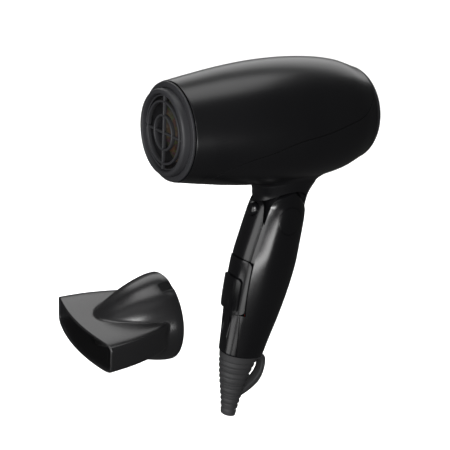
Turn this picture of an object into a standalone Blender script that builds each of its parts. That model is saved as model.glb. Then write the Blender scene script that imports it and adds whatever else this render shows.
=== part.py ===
"""Travel hair dryer with a folding handle and a push-on concentrator nozzle.

Two frames carry the parts.  barrel_frame sits at the centre of the outlet rim, with +X towards
the rear along the barrel.  handle_frame sits on the fold axis, with -Z down the handle and +X
towards the handle's back.  The world origin is the middle of the grip.
"""
from math import cos, pi, radians, sin, sqrt

import bmesh
import bpy
from mathutils import Matrix, Vector

MM = 0.001
GAP = 0.3            # between pieces that touch, in mm as every size below
SLIVER = 0.002       # points closer than this are merged

# Barrel, measured from the outlet rim towards the rear
SEAT_R = 23.0        # tube that the nozzle pushes onto
SEAT_LENGTH = 4.2
FLANGE_R = 26.3
FLANGE_BACK = 5.5
BORE_R = 20.2
SHELL_FRONT = 5.8
SHELL_BACK = 126.0
SHELL_WALL = 2.0
BARREL_LENGTH = 135.0
BARREL_OUTLINE = [(5.8, 26.8), (20, 29.3), (38, 32.2), (58, 34.4), (78, 35.2), (98, 34.4),
                  (113, 32.2), (126, 28.0)]
# Height of the seam between the two barrel shells, front to rear
SEAM = [(0, -48), (16, -29), (24, -19), (34, -13), (50, -8.4), (66, -3.4), (84, -0.6), (100, 3.0),
        (112, 6.2), (120, 11.5), (132, 22.0)]

# Fold joint and handle
FOLD_X = 79.0        # fold axis, behind the outlet rim
FOLD_DROP = 56.5     # and below the barrel's axis
LEAN = radians(12.5)
GRIP_BELOW_FOLD = 45.0
CHEEK_R = 17.5       # round top of the handle
HANDLE_END = 88.0
HANDLE_WALL = 2.2
# Half depth and half width of the handle, by distance below the fold axis
HANDLE_SECTIONS = [(0, 17.5, 15.4), (8, 17.9, 15.6), (16, 19.2, 15.9), (28, 20.1, 16.0),
                   (62, 17.6, 14.2), (75, 15.3, 12.5), (88, 14.1, 11.2)]
SQUARENESS = 2.25    # exponent of the handle's section: 2 is an ellipse
SLOT_HALF = 10.2     # slot between the two cheeks
TONGUE_HALF = 9.8
TONGUE_R = 11.6
PIVOT_R = 4.2

# Switch panel and knob, by distance below the fold axis
PANEL_TOP, PANEL_END, PANEL_HALF, PANEL_RAISE = 28.0, 61.0, 10.8, 0.4
KNOB_TOP, KNOB_END, KNOB_HALF = 39.5, 60.0, 8.3
STRIP_HALF = 8.8     # front covers above and below the panel
BUTTON_Z = 2.0       # cool-shot button, above the fold axis
BUTTON_R = 4.1

# Rubber bush with its hanging loop
BUSH_SECTIONS = [(88.4, -0.6, 13.2, 10.4), (97, -1.0, 11.2, 9.0), (108, -0.4, 8.6, 7.4),
                 (120, 1.2, 6.2, 5.8), (130, 2.4, 4.6, 4.6)]

# Concentrator nozzle, measured forwards from the back of its collar
NOZZLE_AT = (4.0, 0.0, -105.5)       # in barrel_frame, put down below the outlet
NOZZLE_ROLL = radians(2)             # about its own axis
COLLAR_R = 25.0
CONE_SECTIONS = [(0, 25.0, 25.0), (5, 24.6, 24.6), (12, 22.9, 22.9), (20, 20.2, 20.2), (28, 16.6, 16.6),
                 (36, 12.4, 12.2), (44, 8.4, 7.1)]
# Flat fishtail, as distance ahead and half width
TAIL_SECTIONS = [(8, 22.4), (11, 24.4), (16, 27.0), (24, 29.6), (34, 31.8), (56, 33.4)]
MOUTH_HALF_HEIGHT = 8.4
NOZZLE_LENGTH = 52.6
MOUTH_ARC_R = 124.0
NOZZLE_WALL = 1.5


# ---------------------------------------------------------------- scene, frames, materials

for leftover in list(bpy.data.objects):
    bpy.data.objects.remove(leftover, do_unlink=True)

parts = bpy.data.collections.new("travel_hair_dryer")
cutters = bpy.data.collections.new("cutters")
bpy.context.scene.collection.children.link(parts)
bpy.context.scene.collection.children.link(cutters)


def material(name, colour, roughness, metallic=0.0):
    made = bpy.data.materials.new(name)
    made.use_nodes = True
    shader = made.node_tree.nodes["Principled BSDF"]
    shader.inputs["Base Color"].default_value = (*colour, 1)
    shader.inputs["Roughness"].default_value = roughness
    shader.inputs["Metallic"].default_value = metallic
    return made


BLACK_SATIN = ((0.012, 0.012, 0.013), 0.32, 0.0)
BLACK_GLOSS = ((0.010, 0.010, 0.012), 0.12, 0.0)
DARK_MATTE = ((0.035, 0.035, 0.038), 0.6, 0.0)
RUBBER = ((0.028, 0.028, 0.030), 0.75, 0.0)
MICA = ((0.55, 0.47, 0.33), 0.5, 0.0)
STEEL = ((0.60, 0.60, 0.62), 0.3, 1.0)
BRASS = ((0.72, 0.55, 0.28), 0.3, 1.0)
BOARD = ((0.05, 0.22, 0.10), 0.5, 0.0)
INSULATION = ((0.60, 0.08, 0.06), 0.5, 0.0)


def frame_empty(name, location, turn=0.0):
    empty = bpy.data.objects.new(name, None)
    empty.location = Vector(location) * MM
    empty.rotation_euler = (0, turn, 0)
    parts.objects.link(empty)
    return empty


fold_world = (GRIP_BELOW_FOLD * sin(LEAN), 0, GRIP_BELOW_FOLD * cos(LEAN))
rim_world = (fold_world[0] - FOLD_X, 0, fold_world[2] + FOLD_DROP)
barrel_frame = frame_empty("barrel_frame", rim_world)
handle_frame = frame_empty("handle_frame", fold_world, LEAN)
fan_frame = frame_empty("fan_frame", rim_world)


def place(thing, frame, finish=None):
    """Put a new object in a frame: with a finish it is a part, without one a cutter."""
    for home in list(thing.users_collection):
        home.objects.unlink(thing)
    thing.parent = frame
    if finish is None:
        cutters.objects.link(thing)
        thing.hide_render = True
        thing.display_type = 'WIRE'
        return thing
    parts.objects.link(thing)
    thing.data.materials.clear()
    thing.data.materials.append(material(thing.name, *finish))
    if thing.type == 'MESH':
        thing.data.shade_smooth()
        thing.data.set_sharp_from_angle(angle=radians(35))
    return thing


# ---------------------------------------------------------------- shape makers

def mesh_object(name, form):
    mesh = bpy.data.meshes.new(name)
    form.to_mesh(mesh)
    form.free()
    return bpy.data.objects.new(name, mesh)


def block(name, low, high, frame, finish=None, bevel=0.0):
    """Box between two corners."""
    low, high = Vector(low), Vector(high)
    form = bmesh.new()
    bmesh.ops.create_cube(form, size=1)
    for vert in form.verts:
        vert.co = ((low + high) / 2 + Vector(a * b for a, b in zip(vert.co, high - low))) * MM
    thing = mesh_object(name, form)
    if bevel:
        rounding = thing.modifiers.new("rounding", 'BEVEL')
        rounding.width = bevel * MM
        rounding.segments = 2
    return place(thing, frame, finish)


def rod(name, start, end, radius, frame, finish=None, sides=24, end_radius=None):
    """Cylinder or cone between two points."""
    start, end = Vector(start) * MM, Vector(end) * MM
    turn = Vector((0, 0, 1)).rotation_difference(end - start).to_matrix().to_4x4()
    form = bmesh.new()
    bmesh.ops.create_cone(form, cap_ends=True, segments=sides, radius1=radius * MM,
                          radius2=(radius if end_radius is None else end_radius) * MM,
                          depth=(end - start).length, matrix=Matrix.Translation((start + end) / 2) @ turn)
    return place(mesh_object(name, form), frame, finish)


def turned(name, profile, frame, finish=None, steps=36):
    """Closed profile of (x, radius) turned about the barrel's axis.

    The profile runs front to rear along its outer side, so that its faces point out.
    """
    form = bmesh.new()
    ring = [form.verts.new((radius * MM, 0, -x * MM)) for x, radius in profile]
    for first, second in zip(ring, ring[1:]):
        form.edges.new((first, second))
    if profile[0][1] > 0:
        form.edges.new((ring[-1], ring[0]))
    thing = mesh_object(name, form)
    screw = thing.modifiers.new("turn", 'SCREW')
    screw.steps = screw.render_steps = steps
    screw.use_merge_vertices = True
    screw.merge_threshold = 0.00001
    # the profile hangs down -Z, and this turn lays -Z along +X
    thing.rotation_euler = (0, -pi / 2, 0)
    return place(thing, frame, finish)


def slab(name, outline, low_y, high_y, frame, finish=None):
    """Flat outline of (x, z) with a thickness from low_y to high_y."""
    curve = bpy.data.curves.new(name, 'CURVE')
    curve.dimensions = '2D'
    curve.fill_mode = 'BOTH'
    curve.extrude = (high_y - low_y) / 2 * MM
    line = curve.splines.new('POLY')
    line.points.add(len(outline) - 1)
    for point, (x, z) in zip(line.points, outline):
        point.co = (x * MM, z * MM, 0, 1)
    line.use_cyclic_u = True
    flat = bpy.data.objects.new(name + "_outline", curve)
    # the outline's own Y is the frame's Z
    flat.rotation_euler = (pi / 2, 0, 0)
    flat.location = (0, (low_y + high_y) / 2 * MM, 0)
    return place(as_mesh(flat, name), frame, finish)


def as_mesh(curve_object, name):
    """Turn a curve object into a welded mesh object that a Boolean can use."""
    bpy.context.scene.collection.objects.link(curve_object)
    bpy.context.view_layer.update()
    ready = curve_object.evaluated_get(bpy.context.evaluated_depsgraph_get())
    mesh = bpy.data.meshes.new_from_object(ready)
    form = bmesh.new()
    form.from_mesh(mesh)
    bmesh.ops.remove_doubles(form, verts=form.verts, dist=0.000005)
    bmesh.ops.recalc_face_normals(form, faces=form.faces)
    form.transform(curve_object.matrix_world)
    form.to_mesh(mesh)
    form.free()
    mesh.name = name
    bpy.data.objects.remove(curve_object, do_unlink=True)
    return bpy.data.objects.new(name, mesh)


def wire(name, points, radius, frame, finish, detail=2):
    """Round wire through a list of points."""
    curve = bpy.data.curves.new(name, 'CURVE')
    curve.dimensions = '3D'
    curve.bevel_depth = radius * MM
    curve.bevel_resolution = detail
    curve.use_fill_caps = True
    line = curve.splines.new('POLY')
    line.points.add(len(points) - 1)
    for point, place_at in zip(line.points, points):
        point.co = (*(Vector(place_at) * MM), 1)
    return place(bpy.data.objects.new(name, curve), frame, finish)


def rounded(x_half, y_half, exponent, count):
    """Points around a rounded section, as (x, y)."""
    def power(value):
        return (abs(value) ** (2 / exponent)) * (1 if value > 0 else -1)
    return [(x_half * power(cos(2 * pi * i / count)), y_half * power(sin(2 * pi * i / count)))
            for i in range(count)]


def loft(name, rings, frame, finish=None):
    """Closed skin over rings of equal point counts, each a list of points."""
    form = bmesh.new()
    rows = [[form.verts.new(Vector(point) * MM) for point in ring] for ring in rings]
    for upper, lower in zip(rows, rows[1:]):
        for i in range(len(upper)):
            j = (i + 1) % len(upper)
            form.faces.new((upper[i], upper[j], lower[j], lower[i]))
    form.faces.new(rows[0])
    form.faces.new(rows[-1])
    bmesh.ops.recalc_face_normals(form, faces=form.faces)
    return place(mesh_object(name, form), frame, finish)


def change(thing, operation, *tools):
    """Boolean with each tool in turn."""
    for tool in tools:
        step = thing.modifiers.new(tool.name, 'BOOLEAN')
        step.operation = operation
        step.solver = 'EXACT'
        step.object = tool
    return thing


def cut(thing, *tools):
    return change(thing, 'DIFFERENCE', *tools)


def join(thing, *tools):
    return change(thing, 'UNION', *tools)


def keep(thing, *tools):
    return change(thing, 'INTERSECT', *tools)


def weld(thing, distance):
    """Merge the slivers that cuts leave behind."""
    step = thing.modifiers.new("weld", 'WELD')
    step.merge_threshold = distance * MM
    return thing


def smooth_line(points, per_span):
    """Points on a Catmull-Rom curve through the given (x, z) points."""
    ends = [points[0]] + list(points) + [points[-1]]
    line = []
    for a, b, c, d in zip(ends, ends[1:], ends[2:], ends[3:]):
        for i in range(per_span):
            t = i / per_span
            line.append(tuple(
                0.5 * (2 * q + (r - p) * t + (2 * p - 5 * q + 4 * r - s) * t * t
                       + (3 * q - p - 3 * r + s) * t ** 3) for p, q, r, s in zip(a, b, c, d)))
    return line + [tuple(points[-1])]


def about_fold(radius, degrees):
    """Point in barrel_frame's X-Z plane, at a radius and angle about the fold axis."""
    return (FOLD_X + radius * cos(radians(degrees)), -FOLD_DROP + radius * sin(radians(degrees)))


# ---------------------------------------------------------------- barrel shells and neck

outer_line = smooth_line(BARREL_OUTLINE, 2)
inner_line = [(x, radius - SHELL_WALL) for x, radius in outer_line]
inner_line[0] = (SHELL_FRONT, BORE_R + 4.4)
shell_profile = outer_line + inner_line[::-1]

seam = smooth_line(SEAM, 2)


def below_seam(name, shift):
    """Everything under the seam, moved by shift in height."""
    outline = [(x, z + shift) for x, z in seam] + [(140, 30 + shift), (160, 30 + shift), (160, -95), (0, -95)]
    return slab(name, outline, -60, 60, barrel_frame)


upper_shell = turned("upper_shell", shell_profile, barrel_frame, BLACK_SATIN)
cut(upper_shell, below_seam("under_seam", 0.0))

lower_shell = turned("lower_shell", shell_profile, barrel_frame, BLACK_SATIN)

# The neck swells out of the barrel, ends just above the handle's cheeks, and carries the tongue
NECK_SECTIONS = [(-23, 84.1, 26.9, 20.3), (-33, 83.3, 22.4, 18.6), (-37.5, 82.0, 18.9, 16.5),
                 (-42, 81.2, 16.6, 15.5), (-50, 80.8, 16.0, 15.3)]
TONGUE_SECTIONS = [(-20, 84, 27, 20), (-33, 83.3, 22.0, 18.5), (-37.5, 82.0, 18.5, 16.2),
                   (-43, 81.0, 16.3, 15.2), (-FOLD_DROP, FOLD_X, 16.0, 15.0), (-80, 74, 16.0, 15.0)]
neck = loft("neck", [[(centre + x, y, z) for x, y in rounded(depth, width, 2.2, 32)]
                     for z, centre, depth, width in NECK_SECTIONS], barrel_frame)


def swing_room():
    """Outline of the space that the cheeks and the handle's shoulders sweep as it folds."""
    outline = []
    for degrees in range(150, -21, -5):
        past = max(0, degrees - 108, 45 - degrees)
        outline.append(about_fold(CHEEK_R + 0.5 + 0.016 * past ** 2, degrees))
    return outline + [(130, -100), (30, -100)]


cut(neck, slab("swing_room", swing_room(), -40, 40, barrel_frame))

# Its front edge runs up in line with the handle, to leave room for the push switch
tongue_front = about_fold(TONGUE_R, 165)
tongue_outline = [(tongue_front[0] + 26 * sin(LEAN), tongue_front[1] + 26 * cos(LEAN))]
tongue_outline += [about_fold(TONGUE_R, degrees) for degrees in range(165, 271, 15)]
tongue_outline += [about_fold(19.4, -12), (112, -52), (112, -28)]
tongue = slab("tongue", tongue_outline, -TONGUE_HALF, TONGUE_HALF - 0.8, barrel_frame)
# and its back is rounded to run flush with the handle's
keep(tongue, loft("tongue_column", [[(centre + x, y, z) for x, y in rounded(depth, width, SQUARENESS, 32)]
                                    for z, centre, depth, width in TONGUE_SECTIONS], barrel_frame))
# The neck starts inside the shell's wall, so that it leaves the inner face alone
inside = turned("barrel_inside", [(5, 0.0), (5, 25)] + [(x, r - SHELL_WALL / 2) for x, r in outer_line]
                + [(132, 26), (132, 0.0)], barrel_frame)
join(neck, tongue)
cut(neck, inside)
keep(lower_shell, below_seam("below_seam", -GAP))
join(lower_shell, neck)
cut(lower_shell, block("neck_hollow", (70.5, -6.5, -41.5), (94, 6.5, -20), barrel_frame),
    block("lead_passage", (76.5, -3, -54), (81.5, 3, -40), barrel_frame),
    rod("tongue_bore", (FOLD_X, -20, -FOLD_DROP), (FOLD_X, 20, -FOLD_DROP), PIVOT_R + GAP, barrel_frame))
weld(lower_shell, SLIVER)

# ---------------------------------------------------------------- outlet end

turned("nozzle_seat", [(0.0, SEAT_R - 0.6), (0.6, SEAT_R), (14.0, SEAT_R), (14.0, BORE_R), (0.4, BORE_R),
                       (0.0, BORE_R + 0.4)], barrel_frame, DARK_MATTE, steps=36)
turned("front_ring", [(SEAT_LENGTH, FLANGE_R - 0.4), (SEAT_LENGTH + 0.4, FLANGE_R), (FLANGE_BACK, FLANGE_R),
                      (FLANGE_BACK, BORE_R + 4.1), (13.0, BORE_R + 4.1), (13.0, SEAT_R + 0.1),
                      (SEAT_LENGTH, SEAT_R + 0.1)], barrel_frame, DARK_MATTE, steps=36)

GRILLE_FRONT, GRILLE_BACK, BAR = 1.1, 3.4, 1.3


def grille_ring(name, radius, finish=None):
    return turned(name, [(GRILLE_FRONT, radius + BAR / 2), (GRILLE_BACK, radius + BAR / 2),
                         (GRILLE_BACK, radius - BAR / 2), (GRILLE_FRONT, radius - BAR / 2)],
                  barrel_frame, finish, steps=28)


grille_reach = BORE_R - GAP - BAR / 2
outlet_grille = grille_ring("outlet_grille", grille_reach, DARK_MATTE)
join(outlet_grille, grille_ring("wide_ring", 16.4), grille_ring("small_ring", 9.1),
     block("upright_bar", (GRILLE_FRONT + 0.2, -BAR / 2, -grille_reach),
           (GRILLE_BACK - 0.2, BAR / 2, grille_reach), barrel_frame),
     block("level_bar", (GRILLE_FRONT + 0.3, -grille_reach, -BAR / 2),
           (GRILLE_BACK - 0.3, grille_reach, BAR / 2), barrel_frame))

# ---------------------------------------------------------------- heater

HEATER_FRONT, HEATER_BACK = 20.0, 68.0
turned("heat_tube", [(14.5, 22.4), (71, 22.4), (71, 21.8), (14.5, 21.8)], barrel_frame, MICA, steps=32)

MICA_HALF, MICA_THICK = 16.0, 0.8
middle = (HEATER_FRONT + HEATER_BACK) / 2
slot_half = MICA_THICK / 2 + GAP
upright = block("mica_board_upright", (HEATER_FRONT, -MICA_THICK / 2, -MICA_HALF),
                (HEATER_BACK, MICA_THICK / 2, MICA_HALF), barrel_frame, MICA)
cut(upright, block("upright_slot", (middle - GAP, -5, -slot_half), (HEATER_BACK + 5, 5, slot_half), barrel_frame))
level = block("mica_board_level", (HEATER_FRONT, -MICA_HALF, -MICA_THICK / 2),
              (HEATER_BACK, MICA_HALF, MICA_THICK / 2), barrel_frame, MICA)
cut(level, block("level_slot", (HEATER_FRONT - 5, -slot_half, -5), (middle + GAP, slot_half, 5), barrel_frame))

COIL_TURNS, COIL_R, PER_TURN = 5, 17.8, 10
wire("heater_coil",
     [(25 + 38 * i / (COIL_TURNS * PER_TURN), COIL_R * cos(2 * pi * i / PER_TURN),
       COIL_R * sin(2 * pi * i / PER_TURN)) for i in range(COIL_TURNS * PER_TURN + 1)],
     0.5, barrel_frame, STEEL)
rod("thermostat", (46, -6, 6.5), (49.4, -6, 6.5), 4.2, barrel_frame, BRASS)
rod("thermal_fuse", (40, 6, 6.5), (51, 6, 6.5), 1.7, barrel_frame, STEEL, sides=16)

# ---------------------------------------------------------------- motor and fan

MOTOR_R, MOTOR_FRONT, MOTOR_BACK, SHAFT_R = 12.0, 84.0, 110.0, 1.0
turned("motor", [(MOTOR_FRONT, SHAFT_R + GAP), (MOTOR_FRONT, MOTOR_R - 1), (MOTOR_FRONT + 1, MOTOR_R),
                 (MOTOR_BACK - 1, MOTOR_R), (MOTOR_BACK, MOTOR_R - 1), (MOTOR_BACK, SHAFT_R + GAP)],
       barrel_frame, STEEL, steps=32)
VANES = 5
motor_mount = turned("motor_mount", [(90, 13.8), (106, 13.8), (106, MOTOR_R + GAP), (90, MOTOR_R + GAP)],
                     barrel_frame, DARK_MATTE, steps=32)
join(motor_mount, turned("mount_ring", [(92, 31.4), (104, 31.0), (104, 29.4), (92, 29.8)], barrel_frame, steps=32))
for index in range(VANES):
    vane = block("vane_%d" % index, (93, -0.7, 13.2), (103, 0.7, 30.4), barrel_frame)
    vane.rotation_euler = (2 * pi * index / VANES, 0, 0)
    join(motor_mount, vane)

fan_hub = turned("impeller", [(113, SHAFT_R + GAP), (113, 8), (115, 9.2), (123, 9.2), (123, SHAFT_R + GAP)],
                 fan_frame, DARK_MATTE, steps=24)
BLADES, BLADE_TIP, BLADE_TWIST = 7, 26.0, radians(38)
for index in range(BLADES):
    blade = block("blade_%d" % index, (-4.6, -0.6, 8.4), (4.6, 0.6, BLADE_TIP), fan_frame)
    turn = Matrix.Rotation(2 * pi * index / BLADES, 4, 'X')
    tilt = Matrix.Rotation(BLADE_TWIST, 4, 'Z')
    blade.matrix_local = Matrix.Translation((118.6 * MM, 0, 0)) @ turn @ tilt
    join(fan_hub, blade)
rod("motor_shaft", (88, 0, 0), (122, 0, 0), SHAFT_R, fan_frame, STEEL, sides=12)

# Rear grille: a dome with slots for the intake air
dome_line = smooth_line([(SHELL_BACK + GAP, 27.8), (129, 25.6), (131.8, 21.8), (133.9, 15.5),
                         (BARREL_LENGTH, 7.0), (BARREL_LENGTH, 0.0)], 2)
dome_inner = [(x - 1.6, r - 1.4) for x, r in dome_line if r > 3][::-1]
dome_inner[-1] = (SHELL_BACK + GAP, 26.0)
rear_grille = turned("rear_grille", dome_line + [(BARREL_LENGTH - 1.8, 0.0)] + dome_inner,
                     barrel_frame, DARK_MATTE, steps=36)
SLOTS = 12
slots = bmesh.new()
for index in range(SLOTS):
    turn = Matrix.Rotation(2 * pi * (index + 0.5) / SLOTS, 4, 'X')
    cube = bmesh.ops.create_cube(slots, size=MM)["verts"]
    for vert in cube:
        stretched = Vector((vert.co.x * 30, vert.co.y * 2.2, vert.co.z * 14)) + Vector((132, 0, 14)) * MM
        vert.co = turn @ stretched
cut(rear_grille, place(mesh_object("intake_slots", slots), barrel_frame))

# Screws that hold the motor mount's hub to the motor, on the motor's front face
for side, y in (("left", -6.5), ("right", 6.5)):
    rod("motor_screw_" + side, (80.8, y, 0), (MOTOR_FRONT - GAP, y, 0), 2.2, barrel_frame, STEEL, sides=16)

for name, y in (("lead_live", -2.0), ("lead_neutral", 2.0)):
    wire(name, [(72.0, y, -10), (73.5, y, -16), (76, y, -23), (78, y, -30), (79, y, -38), (79, y, -50.5)],
         0.8, barrel_frame, INSULATION)

# ---------------------------------------------------------------- handle


def handle_half(depth_below):
    """Half depth and half width of the handle at a distance below the fold axis."""
    if depth_below < 0:
        return sqrt(max(CHEEK_R ** 2 - depth_below ** 2, 0.01)), HANDLE_SECTIONS[0][2]
    for (s0, a0, b0), (s1, a1, b1) in zip(HANDLE_SECTIONS, HANDLE_SECTIONS[1:]):
        if depth_below <= s1:
            t = (depth_below - s0) / (s1 - s0)
            return a0 + (a1 - a0) * t, b0 + (b1 - b0) * t
    return HANDLE_SECTIONS[-1][1:]


def handle_form(name, offset, first, last, finish=None):
    """The handle's outer form, grown by offset, between two distances below the fold axis."""
    stations = [s for s in (-15, -11, -6, 0, 8, 16, 28, 45, 62, 75) if first < s < last]
    rings = []
    for s in [first] + stations + [last]:
        a, b = handle_half(s)
        narrow = 1.0
        if s < 0:
            narrow = sqrt(1 - 0.42 * (s / CHEEK_R) ** 2)
        rings.append([(x, y, -s) for x, y in
                      rounded(max(a + offset, 0.5), b * narrow + offset, SQUARENESS, 32)])
    return loft(name, rings, handle_frame, finish)


def fork_slot_outline():
    """Space for the tongue: open over the top and the back, closed in front."""
    lean = 180 * LEAN / pi
    front = CHEEK_R - HANDLE_WALL
    outline = [(front * cos(radians(a)), front * sin(radians(a))) for a in range(146, 262, 8)]
    outline += [(20.4 * cos(radians(a)), 20.4 * sin(radians(a))) for a in range(266, 312, 8)]
    back_edge = radians(-46 + lean)
    outline += [(40 * cos(back_edge), 40 * sin(back_edge)), (40, 40), (-24, 40)]
    return outline


handle_shell = handle_form("handle_shell", 0, -17.2, HANDLE_END, BLACK_GLOSS)
fork_slot = slab("fork_slot", fork_slot_outline(), -SLOT_HALF, SLOT_HALF, handle_frame)
handle_inside = handle_form("handle_inside", -HANDLE_WALL, 15.0, HANDLE_END + 4)


def front_window(name, top, end, half, clearance):
    """Straight block over the handle's front, as wide as a cover that sits in it."""
    return block(name, (-40, -half - clearance, -end - clearance), (-7.5, half + clearance, -top + clearance),
                 handle_frame)


upper_window = front_window("upper_window", -15.0, PANEL_TOP - GAP, STRIP_HALF, GAP)
panel_window = front_window("panel_window", PANEL_TOP, PANEL_END, PANEL_HALF, GAP)
lower_window = front_window("lower_window", PANEL_END - 1, HANDLE_END + 7, STRIP_HALF, GAP)
cap_pocket_left = rod("cap_pocket_left", (0, -20, 0), (0, -12.6, 0), 8.2, handle_frame, sides=32)
cap_pocket_right = rod("cap_pocket_right", (0, 20, 0), (0, 12.6, 0), 8.2, handle_frame, sides=32)
cheek_bore = rod("cheek_bore", (0, -20, 0), (0, 20, 0), PIVOT_R + 0.1, handle_frame)
cut(handle_shell, upper_window, panel_window, lower_window, handle_inside, fork_slot,
    cap_pocket_left, cap_pocket_right, cheek_bore)
# The back of the handle carries two screws in recesses
for name, s in (("upper", 34.0), ("lower", 70.0)):
    back = handle_half(s)[0]
    cut(handle_shell, rod("recess_" + name, (back + 3, 0, -s), (back - 1.3, 0, -s), 3.0, handle_frame))
    post = rod("post_" + name, (back - 0.8, 0, -s), (back - 8.5, 0, -s), 3.4, handle_frame, sides=16)
    bore = rod("screw_bore_" + name, (back + 1, 0, -s), (back - 12, 0, -s), 1.5, handle_frame, sides=16)
    join(handle_shell, post)
    cut(handle_shell, rod("recess_again_" + name, (back + 3, 0, -s), (back - 1.3, 0, -s), 3.0, handle_frame),
        bore)
    head = rod("handle_screw_" + name, (back - 0.2, 0, -s), (back - 1.1, 0, -s), 2.6, handle_frame, STEEL,
               sides=20)
    join(head, rod("shank_" + name, (back - 0.6, 0, -s), (back - 11, 0, -s), 1.2, handle_frame, sides=12))

# Round caps over the two ends of the pivot, flush with the cheeks
for side, sign in (("left", -1), ("right", 1)):
    cap = handle_form("hinge_cap_" + side, 0, -12, 14, BLACK_GLOSS)
    keep(cap, rod("cap_round_" + side, (0, 24 * sign, 0), (0, 12.9 * sign, 0), 8.0, handle_frame, sides=32))

pivot = rod("pivot_tube", (0, -12.5, 0), (0, 12.5, 0), PIVOT_R - 0.2, handle_frame, STEEL)
cut(pivot, rod("pivot_hollow", (0, -20, 0), (0, 20, 0), PIVOT_R - 1.3, handle_frame))
washer = rod("spring_washer", (0, TONGUE_HALF - 0.5, 0), (0, TONGUE_HALF + 0.1, 0), 8.0, handle_frame, STEEL)
cut(washer, rod("washer_hole", (0, 5, 0), (0, 15, 0), PIVOT_R + 0.4, handle_frame))

# Front covers above and below the switch panel
hollow_full = handle_form("hollow_full", -HANDLE_WALL, -15.3, HANDLE_END + 4)
upper_cover = handle_form("upper_front_cover", 0, -17.2, 34, BLACK_GLOSS)
keep(upper_cover, front_window("upper_block", -15.0, PANEL_TOP - GAP, STRIP_HALF, 0))
button_hole = rod("button_hole", (-30, 0, BUTTON_Z), (-10, 0, BUTTON_Z), BUTTON_R + GAP, handle_frame)
cut(upper_cover, hollow_full, button_hole,
    block("front_trim", (-CHEEK_R + HANDLE_WALL, -20, -15), (0, 20, 20), handle_frame))

lower_cover = handle_form("lower_front_cover", 0, 50, HANDLE_END, BLACK_GLOSS)
keep(lower_cover, front_window("lower_block", PANEL_END + GAP, HANDLE_END + 3, STRIP_HALF, 0))
cut(lower_cover, hollow_full)
for name, y in (("near", -3.0), ("far", 3.0)):
    cut(lower_cover, block("groove_" + name, (-40, y - 0.8, -85), (-handle_half(74)[0] + 0.2, y + 0.8, -64),
                           handle_frame))

# Switch panel, with the knob sliding over it
panel = handle_form("switch_panel", PANEL_RAISE, 20, 70, DARK_MATTE)
keep(panel, front_window("panel_block", PANEL_TOP, PANEL_END, PANEL_HALF, 0))
cut(panel, hollow_full, block("stem_slot", (-40, -2.4, -57), (0, 2.4, -40), handle_frame))

KNOB_RIDE = PANEL_RAISE + 0.3
knob = handle_form("speed_knob", KNOB_RIDE + 1.1, 30, 70, DARK_MATTE)
keep(knob, front_window("knob_block", KNOB_TOP, KNOB_END, KNOB_HALF, 0))
cut(knob, handle_form("knob_underside", KNOB_RIDE, 30, 70))
join(knob, block("knob_stem", (-20.2, -1.9, -56), (-13.9, 1.9, -49), handle_frame))
block("switch_body", (-13.4, -6, -59), (-3, 6, -38), handle_frame, DARK_MATTE, bevel=0.4)

# Cool-shot button and the push switch behind it
button = rod("cool_button", (-18.9, 0, BUTTON_Z), (-16.0, 0, BUTTON_Z), BUTTON_R, handle_frame, DARK_MATTE)
join(button, rod("button_dome", (-18.9, 0, BUTTON_Z), (-19.9, 0, BUTTON_Z), BUTTON_R, handle_frame,
                 end_radius=2.4),
     rod("button_stem", (-16.4, 0, BUTTON_Z), (-14.9, 0, BUTTON_Z), 1.2, handle_frame, sides=12))
block("cool_switch", (-13.6, -3, BUTTON_Z - 3), (-12.1, 3, BUTTON_Z + 3), handle_frame, DARK_MATTE)

# Circuit board behind the switch, with the rectifier and a capacitor
block("circuit_board", (0.6, -8.5, -62), (2.0, 8.5, -33), handle_frame, BOARD)
block("rectifier", (2.3, -6, -48), (7.0, -1, -40), handle_frame, DARK_MATTE)
rod("capacitor", (6.4, 3.2, -58), (6.4, 3.2, -46), 3.6, handle_frame, BRASS, sides=20)

# Leads from the cord clamp to the switch, and from the switch up to the fold
wire("supply_lead", [(-1, -3, -76), (-2, -3, -72), (-5, -3, -66), (-7, -3, -59.5)], 0.9, handle_frame, INSULATION)
wire("switch_lead", [(-8, 2.5, -37.5), (-8, 2.5, -33), (-6, 2.5, -28), (-3, 2.5, -23)], 0.9, handle_frame, INSULATION)

clamp = block("cord_clamp", (-3.2, -8, -80.5), (0.4, 8, -76.4), handle_frame, DARK_MATTE, bevel=0.4)
for side, y in (("left", -5.8), ("right", 5.8)):
    cut(clamp, rod("clamp_hole_" + side, (-9, y, -78.4), (9, y, -78.4), 1.3, handle_frame, sides=16))
    screw = rod("clamp_screw_" + side, (-4.6, y, -78.4), (-3.5, y, -78.4), 2.0, handle_frame, STEEL, sides=16)
    join(screw, rod("clamp_shank_" + side, (-4.0, y, -78.4), (4.0, y, -78.4), 1.0, handle_frame, sides=12))

# Rubber bush: its neck plugs into the handle's end, and a loop for hanging runs up its back
bush_rings = [[(x - 0.2, y, -83) for x, y in rounded(HANDLE_SECTIONS[-1][1] - HANDLE_WALL - 0.5,
                                                      HANDLE_SECTIONS[-1][2] - HANDLE_WALL - 0.5, 2.1, 32)],
              [(x - 0.2, y, -88.7) for x, y in rounded(HANDLE_SECTIONS[-1][1] - HANDLE_WALL - 0.5,
                                                        HANDLE_SECTIONS[-1][2] - HANDLE_WALL - 0.5, 2.1, 32)]]
bush = loft("cord_bush", [[(c + x, y, -s) for x, y in rounded(a, b, 2.1, 32)] for s, c, a, b in BUSH_SECTIONS],
            handle_frame, RUBBER)
join(bush, loft("bush_neck", bush_rings, handle_frame))

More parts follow.
